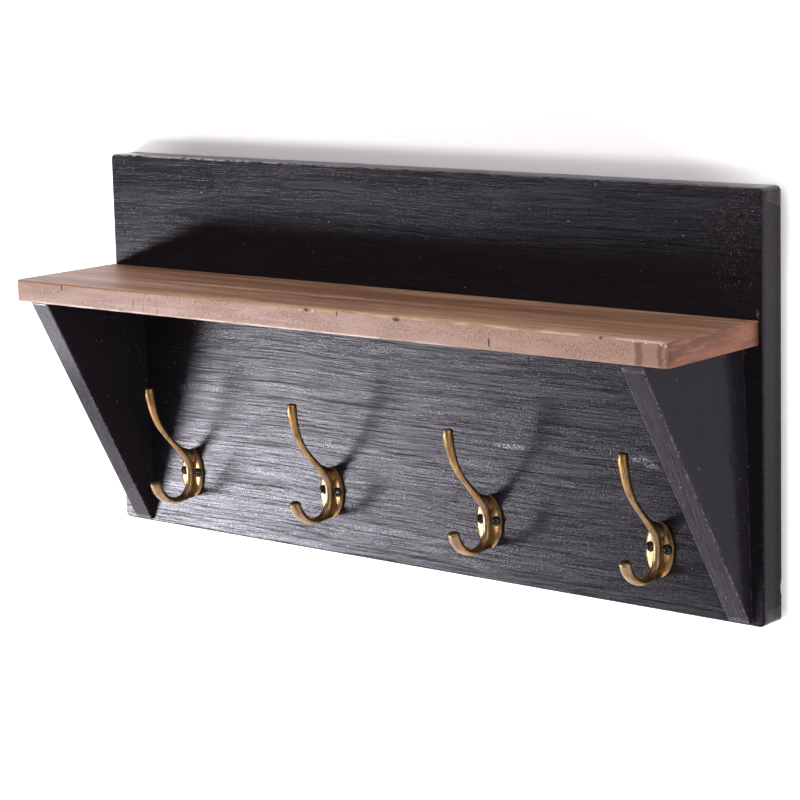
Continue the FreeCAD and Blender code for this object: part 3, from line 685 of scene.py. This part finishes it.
# %% [markdown]
# ## Weathered wood
# The exact solids have perfect faces and edges, and real boards don't. Each wooden piece gets a
# copy of its solid, cut across into short lengths with `bisect_plane`, so that there are corners
# to move. Then the arrises are worn back by an uneven amount and the plank's face is brushed
# into shallow grooves. Everything moves inwards, so the copy stays inside the solid it stands for.

# %% Slicing helpers
touching = 1e-6
square_edge = 0.29  # how much the mean of two square faces' normals falls short of 1
least_wear, chip_start, chip_gain = 0.15, 0.55, 1.6


def merged_copy(name):
    """A bmesh of a node's solid, with doubled corners merged and each flat face in one piece."""
    form = bmesh.new()
    form.from_mesh(nodes[name].data)
    bmesh.ops.remove_doubles(form, verts=form.verts, dist=touching)
    bmesh.ops.dissolve_limit(form, angle_limit=math.radians(0.4), verts=form.verts,
                             edges=form.edges)
    return form


def sliced(form, geometry, axis, low, high, step):
    """Cuts some of a form across, at planes a step apart."""
    normal = Vector([axis == index for index in range(3)])
    for number in range(1, round((high - low) / step)):
        cut = bmesh.ops.bisect_plane(form, geom=geometry, dist=touching,
                                     plane_co=normal * (low + number * step), plane_no=normal)
        geometry = cut["geom"]


def everything(form):
    return form.verts[:] + form.edges[:] + form.faces[:]


def edginess(corner):
    """0 on a flat face, 1 where two faces meet squarely."""
    total = sum((face.normal for face in corner.link_faces), Vector())
    return min(1.0, (1 - total.length / len(corner.link_faces)) / square_edge)


def worn_piece(form, name, finish, depth, grain):
    """Wears the arrises back by up to a depth, and makes the form into a piece of the model."""
    form.normal_update()
    moves = []
    for corner in form.verts:
        place = corner.co
        chips = max(0.0, turbulence(place * grain, 3, False) - chip_start) * chip_gain
        moves.append(edginess(corner) * depth * min(1.0, least_wear + chips))
    for corner, move in zip(form.verts, moves):
        corner.co -= corner.normal * move
    form.normal_update()
    mesh = bpy.data.meshes.new(name)
    form.to_mesh(mesh)
    form.free()
    mesh.shade_smooth()
    mesh.set_sharp_from_angle(angle=math.radians(38))
    mesh.materials.append(finish)
    piece = bpy.data.objects.new(name, mesh)
    bpy.context.scene.collection.objects.link(piece)
    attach(piece, "root")
    return piece

print("slicing helpers ready")

# %% The shelf and the brackets
form = merged_copy("shelf")
sliced(form, everything(form), 0, -307.3 * mm, shelf_end, 3.5 * mm)
sliced(form, everything(form), 1, shelf_front, plank_front, 12 * mm)
worn_shelf = worn_piece(form, "worn_shelf", shelf_wood, depth=1.3 * mm, grain=95.0)
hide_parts("shelf")
print("worn shelf", len(worn_shelf.data.polygons), "faces")

for name, finish in black_brackets.items():
    form = merged_copy(name)
    sliced(form, everything(form), 2, -147 * mm, shelf_foot, 4 * mm)
    worn_bracket = worn_piece(form, "worn_" + name, finish, depth=0.9 * mm,
                              grain=120.0)
    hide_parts(name)
    print(worn_bracket.name, len(worn_bracket.data.polygons), "faces")

# %% [markdown]
# The plank is cut most finely on its front, into strips 1.5 mm high. A wavy height field and
# some grit then sink the soft wood by a few hundredths of a millimetre.

# %% The plank
wave_pitch, wave_bend, wave_depth, grit_depth = 5.2 * mm, 8 * mm, 0.02 * mm, 0.04 * mm


def brushed_depth(place):
    """How deep the brush has cut at a place on the plank's front."""
    bend = noise_value(Vector((place.x * 3.2, 0.0, place.z * 3.2))) * wave_bend
    unrest = noise_value(Vector((place.x * 9, 7.0, place.z * 60))) * 2.2
    wave = math.sin((place.z + bend) * 2 * math.pi / wave_pitch + unrest)
    breaks = 0.5 + 0.5 * noise_value(Vector((place.x * 18, 3.0, place.z * 240)))
    grit = 0.5 + 0.5 * noise_value(place * 700)
    return wave_depth * max(0.0, wave) * breaks + grit_depth * grit


form = merged_copy("back_board")
sliced(form, everything(form), 0, -plank_end, plank_end, 5 * mm)
sliced(form, everything(form), 2, -plank_top, plank_top, 6 * mm)
front = [face for face in form.faces if face.normal.y < -0.999]
borders = {edge for face in front for edge in face.edges}
corners = {corner for face in front for corner in face.verts}
sliced(form, front + list(borders) + list(corners), 2, -plank_top, plank_top, 1.5 * mm)
for corner in form.verts:
    if corner.co.y < plank_front + touching:
        corner.co.y += brushed_depth(corner.co)
worn_plank = worn_piece(form, "worn_plank", black_plank, depth=1.0 * mm, grain=90.0)
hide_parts("back_board")
print("worn plank", len(worn_plank.data.polygons), "faces")

# %% [markdown]
# ## Wall and floor
# The rack hangs on a white wall, which also lights its thin top and end faces by reflection.
# The wall is a matt surface that also shows a little light of its own to the camera and to
# reflections, so that it reads as clean white while the rack's soft shadow stays on it. Just
# above the rack that light is weaker, which deepens the rack's cast shadow there, and in a strip
# beside its right end it is weaker too, which is a painted shadow. Both sheets are clear from
# behind and to anything that nearly touches them, so the rack's back can be looked at as well.

# %% Wall and floor
wall_white = (0.885, 0.85, 0.875, 1)
halo_width, halo_height, halo_middle = 0.30, 0.09, 0.13
clear_gap = 4 * mm


def backdrop(name, near_light, far_light):
    """A matt sheet with its own light, weaker just above the rack to deepen its shadow and in a
    painted shadow strip beside it.
    """
    sheet = bpy.data.materials.new(name)
    sheet.use_nodes = True
    tree = sheet.node_tree
    tree.nodes.clear()
    path = node(tree, "LightPath").outputs
    seen = maths(tree, "ADD", path["Is Camera Ray"], path["Is Glossy Ray"], clamp=True)
    seen = maths(tree, "ADD", seen, path["Is Transmission Ray"], clamp=True)
    place = node(tree, "TexCoord").outputs["Object"]
    halo = stretched(tree, place, (1 / halo_width, 0, 1 / halo_height),
                     shift=(0, 0, -halo_middle / halo_height))
    own_light = ramp(tree, length(tree, halo), 0.8, 1.2, near_light, far_light)
    x, _, z = axes(tree, place)
    # Painted shadow: a strip of weaker own light beside the rack's right end.
    shadow_strip = times(tree, ramp(tree, x, 290 * mm, 300 * mm),
                   ramp(tree, x, 316 * mm, 307 * mm, 0.0, 0.88))
    level = ramp(tree, maths(tree, "ABSOLUTE", z), 155 * mm, 140 * mm)
    shadow_strip = times(tree, shadow_strip, level)
    own_light = node(tree, "Mix", {0: shadow_strip, 2: own_light, 3: near_light}).outputs[0]
    matt = node(tree, "BsdfDiffuse", {"Color": wall_white}).outputs[0]
    glow = node(tree, "Emission", {"Strength": times(tree, seen, own_light)}).outputs[0]
    both = node(tree, "AddShader", {0: matt, 1: glow}).outputs[0]
    clear = node(tree, "BsdfTransparent").outputs[0]
    from_rear = maths(tree, "LESS_THAN", path["Ray Length"], clear_gap)
    unseen = maths(tree, "MAXIMUM", node(tree, "NewGeometry").outputs["Backfacing"], from_rear)
    end = node(tree, "MixShader", {0: unseen, 1: both, 2: clear}).outputs[0]
    put(node(tree, "OutputMaterial").inputs["Surface"], end)
    return sheet


def sheet_piece(name, corners, finish):
    mesh = bpy.data.meshes.new(name)
    form = bmesh.new()
    form.faces.new([form.verts.new(corner) for corner in corners])
    form.to_mesh(mesh)
    form.free()
    mesh.materials.append(finish)
    piece = bpy.data.objects.new(name, mesh)
    bpy.context.scene.collection.objects.link(piece)
    return piece


wall_y, floor_z, reach, floor_front = 0.0006, -1.0, 3.0, -1.5
wall_corners = [(-reach, wall_y, floor_z), (reach, wall_y, floor_z),
                (reach, wall_y, reach), (-reach, wall_y, reach)]
floor_corners = [(-reach, floor_front, floor_z), (reach, floor_front, floor_z),
                 (reach, wall_y, floor_z), (-reach, wall_y, floor_z)]
wall_finish = backdrop("wall_white", near_light=0.045, far_light=0.8)
floor_finish = backdrop("floor_white", near_light=0.3, far_light=0.3)
wall = sheet_piece("wall", wall_corners, wall_finish)
floor = sheet_piece("floor", floor_corners, floor_finish)
for sheet in (wall, floor):
    print(sheet.name, "faces", tuple(sheet.data.polygons[0].normal))

# %% [markdown]
# ## Light
# One soft lamp stands to the left and a little below the rack. It rakes along the brushed
# grain and, because the satin surface mirrors it towards the camera, it lays a pale sheen over
# the plank's lower left that fades to the right. A wide lamp overhead fills the shelf's top, a
# third lights the sawn ends from the right, and a weak one softens the shadows. The room is
# bright above and dim below, so that the black stays black where no lamp shows. It is bright
# behind the wall too, which only the back of the rack can see.

# %% Lamps and room
lamp_white, air_white = (1.0, 0.985, 1.0), (1, 0.98, 0.99, 1)
rack_middle = (0.0, -0.05, 0.0)
# Each lamp is its turn and rise in degrees, distance, width and height in metres, and watts.
lamps = {"key_lamp": (-53.0, -17.0, 1.66, 0.5, 0.4, 29.5),
         "top_lamp": (10.0, 68.0, 1.7, 1.3, 1.3, 16.0),
         "side_lamp": (58.0, 6.0, 1.8, 1.1, 1.1, 12.5),
         "fill_lamp": (-32.0, -24.0, 2.5, 1.2, 1.2, 6.0)}


def lamp(name, towards, distance, width, height, power, aim):
    data = bpy.data.lights.new(name, "AREA")
    data.shape, data.size, data.size_y, data.energy = "RECTANGLE", width, height, power
    data.color = lamp_white
    made = bpy.data.objects.new(name, data)
    made.location = Vector(aim) + Vector(towards).normalized() * distance
    made.rotation_euler = Vector(towards).to_track_quat("Z", "Y").to_euler()
    bpy.context.scene.collection.objects.link(made)
    return made


def heading(turn, rise):
    """The direction that a turn to the right and a rise, both in degrees, lead to."""
    turn, rise = math.radians(turn), math.radians(rise)
    return (math.sin(turn) * math.cos(rise), -math.cos(turn) * math.cos(rise), math.sin(rise))


for name, (turn, rise, *shape) in lamps.items():
    made = lamp(name, heading(turn, rise), *shape, rack_middle)
    print(name, "at", [round(value, 2) for value in made.location])

room = bpy.data.worlds.new("room")
bpy.context.scene.world = room
room.use_nodes = True
room_tree = room.node_tree
room_tree.nodes.clear()
direction = axes(room_tree, node(room_tree, "TexCoord").outputs["Generated"])
above = ramp(room_tree, direction[2], -0.05, 0.6, 0.05, 0.33)
behind = ramp(room_tree, direction[1], 0.0, 0.5, 0.0, 0.8)
dim_to_bright = maths(room_tree, "ADD", above, behind)
paths = node(room_tree, "LightPath").outputs
shown = maths(room_tree, "ADD", paths["Is Camera Ray"], paths["Is Transmission Ray"], clamp=True)
strength = node(room_tree, "Mix", {0: shown, 2: dim_to_bright, 3: 1.0}).outputs[0]
air = node(room_tree, "Background", {"Color": air_white, "Strength": strength}).outputs[0]
put(node(room_tree, "OutputWorld").inputs["Surface"], air)
bpy.context.scene.view_settings.view_transform = "Standard"
print("room", room.name, "with", len(room_tree.nodes), "nodes")
